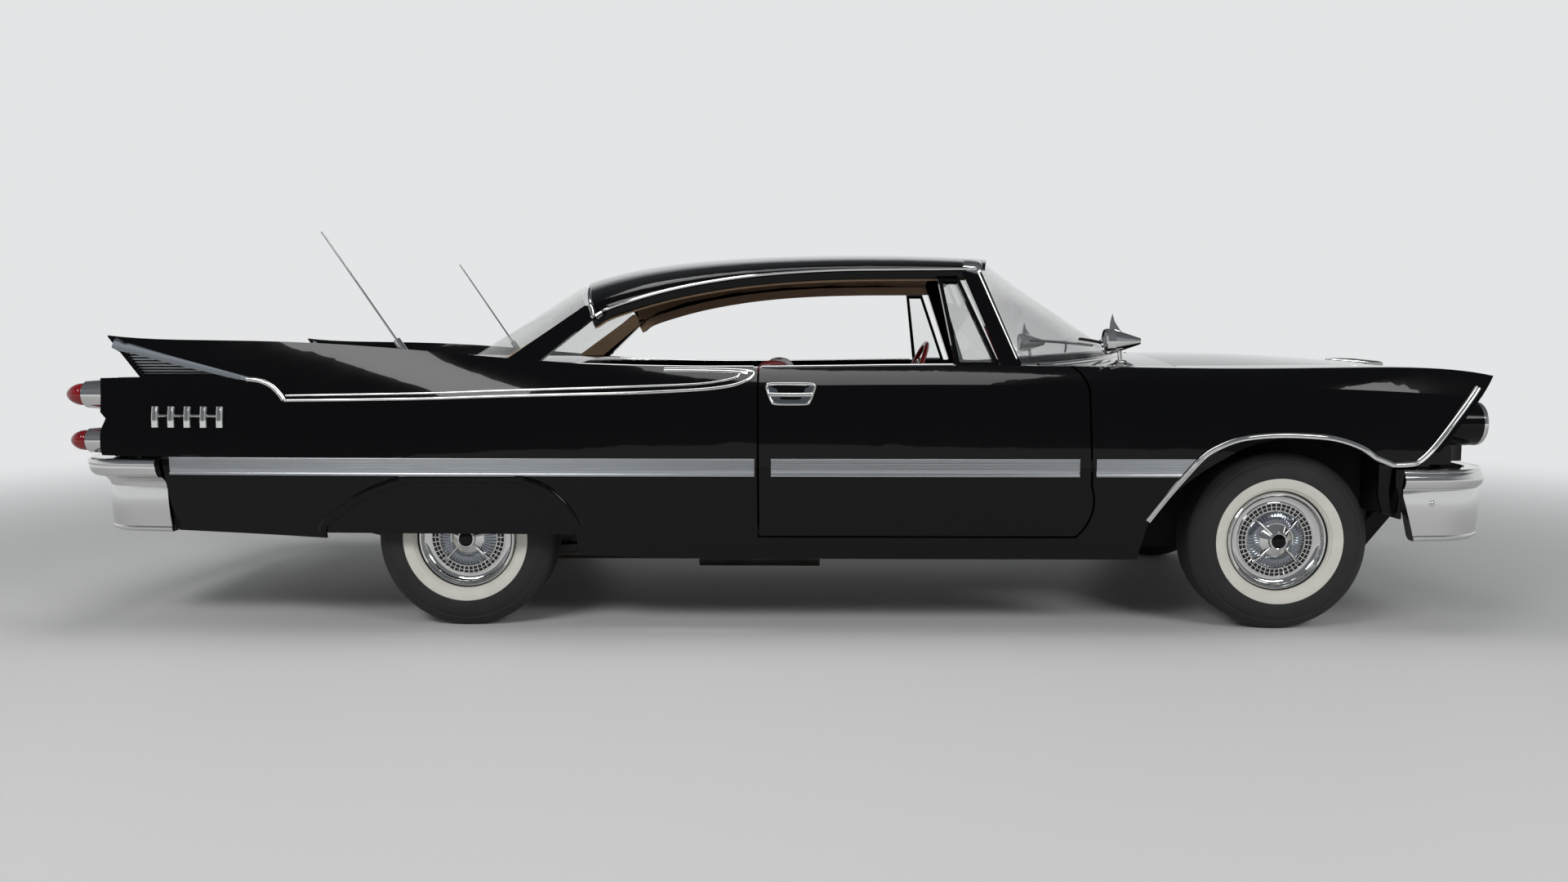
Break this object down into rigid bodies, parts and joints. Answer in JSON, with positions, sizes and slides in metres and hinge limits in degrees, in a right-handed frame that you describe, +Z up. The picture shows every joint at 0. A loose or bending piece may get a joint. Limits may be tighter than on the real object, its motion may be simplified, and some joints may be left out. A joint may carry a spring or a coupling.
{
  "type": "two-door hardtop car",
  "caption": "Low finned two-door hardtop car with whitewall tyres, opening doors, hood and trunk lid, steered front wheels and bench seats.",
  "frame": {"origin": "on the ground, midway along and across the car", "axes": "+X forward, +Y to the car's left, +Z up"},
  "size_m": [5.5086, 1.9935, 1.5062],
  "materials": {
    "black_paint": "gloss",
    "cabin_plastic": "gloss",
    "cast_metal": "matte",
    "chrome": "polished",
    "cover_chrome": "polished",
    "lamp_glass": "clear",
    "plain_steel": "satin",
    "red_lens": "gloss",
    "seat_vinyl": "satin",
    "tyre_rubber": "matte",
    "underbody_paint": "satin",
    "window_glass": "clear"
  },
  "bodies": {
    "body": {"antennas": "chrome", "chassis_frame": "underbody_paint", "cowl_panel": "black_paint", "dashboard": "cabin_plastic", "deck_panel": "black_paint", "drive_shaft": "cast_metal", "engine": "cast_metal", "exhaust": "plain_steel", "fender_mirrors": "chrome", "fender_skirts": "black_paint", "floor_pan": "underbody_paint", "front_bumper": "chrome", "front_fender_left": "black_paint", "front_fender_right": "black_paint", "front_seat": "seat_vinyl", "front_suspension": "cast_metal", "fuel_tank": "plain_steel", "grille": "chrome", "headlamp_housings": "black_paint", "headlamps": "lamp_glass", "nose_panel": "chrome", "radiator": "cast_metal", "rear_axle": "cast_metal", "rear_bumper": "chrome", "rear_quarter_left": "black_paint", "rear_quarter_right": "black_paint", "rear_seat": "seat_vinyl", "rear_window": "window_glass", "rocker_sills": "black_paint", "roof": "black_paint", "steering_column": "cabin_plastic", "tail_lamp_lenses": "red_lens", "tail_lamp_sleeves": "chrome", "tail_panel": "black_paint", "windshield": "window_glass"},
    "knuckle_left": {"knuckle_left": "cast_metal"},
    "knuckle_right": {"knuckle_right": "cast_metal"},
    "wheel_front_left": {"wheel_front_left": "cover_chrome", "tyre_front_left": "tyre_rubber"},
    "wheel_front_right": {"wheel_front_right": "cover_chrome", "tyre_front_right": "tyre_rubber"},
    "wheel_rear_left": {"wheel_rear_left": "cover_chrome", "tyre_rear_left": "tyre_rubber"},
    "wheel_rear_right": {"wheel_rear_right": "cover_chrome", "tyre_rear_right": "tyre_rubber"},
    "steering_wheel": {"steering_wheel": "cabin_plastic"},
    "door_left": {"door_left": "black_paint", "vent_glass_left": "window_glass"},
    "door_right": {"door_right": "black_paint", "vent_glass_right": "window_glass"},
    "hood": {"hood": "black_paint"},
    "trunk_lid": {"trunk_lid": "black_paint"}
  },
  "joints": [
    {"name": "steer_left", "type": "hinge", "parent": "body", "child": "knuckle_left", "pos_m": [1.89, 0.65, 0.34], "axis": [0, 0, 1], "range_deg": [-32, 32]},
    {"name": "steer_right", "type": "hinge", "parent": "body", "child": "knuckle_right", "pos_m": [1.89, -0.65, 0.34], "axis": [0, 0, 1], "range_deg": [-32, 32]},
    {"name": "steering_turn", "type": "hinge", "parent": "body", "child": "steering_wheel", "pos_m": [0.6, 0.37, 0.9], "axis": [-0.9207, 0, 0.3903], "range_deg": [-520, 520]},
    {"name": "roll_front_left", "type": "hinge", "parent": "knuckle_left", "child": "wheel_front_left", "pos_m": [1.89, 0.775, 0.34], "axis": [0, 1, 0], "continuous": true},
    {"name": "roll_front_right", "type": "hinge", "parent": "knuckle_right", "child": "wheel_front_right", "pos_m": [1.89, -0.775, 0.34], "axis": [0, 1, 0], "continuous": true},
    {"name": "roll_rear_left", "type": "hinge", "parent": "body", "child": "wheel_rear_left", "pos_m": [-1.209, 0.76, 0.34], "axis": [0, 1, 0], "continuous": true},
    {"name": "roll_rear_right", "type": "hinge", "parent": "body", "child": "wheel_rear_right", "pos_m": [-1.209, -0.76, 0.34], "axis": [0, 1, 0], "continuous": true},
    {"name": "door_left_swing", "type": "hinge", "parent": "body", "child": "door_left", "pos_m": [1.149, 0.985, 0.64], "axis": [0, 0, -1], "range_deg": [0, 65]},
    {"name": "door_right_swing", "type": "hinge", "parent": "body", "child": "door_right", "pos_m": [1.149, -0.985, 0.64], "axis": [0, 0, 1], "range_deg": [0, 65]},
    {"name": "hood_lift", "type": "hinge", "parent": "body", "child": "hood", "pos_m": [1.496, 0, 1.048], "axis": [0, -1, 0], "range_deg": [0, 48]},
    {"name": "trunk_lift", "type": "hinge", "parent": "body", "child": "trunk_lid", "pos_m": [-1.388, 0, 1.037], "axis": [0, 1, 0], "range_deg": [0, 60]}
  ],
  "couplings": [
    {"joint": "steer_right", "follows": "steer_left", "ratio": 1},
    {"joint": "steering_turn", "follows": "steer_left", "ratio": 16}
  ]
}
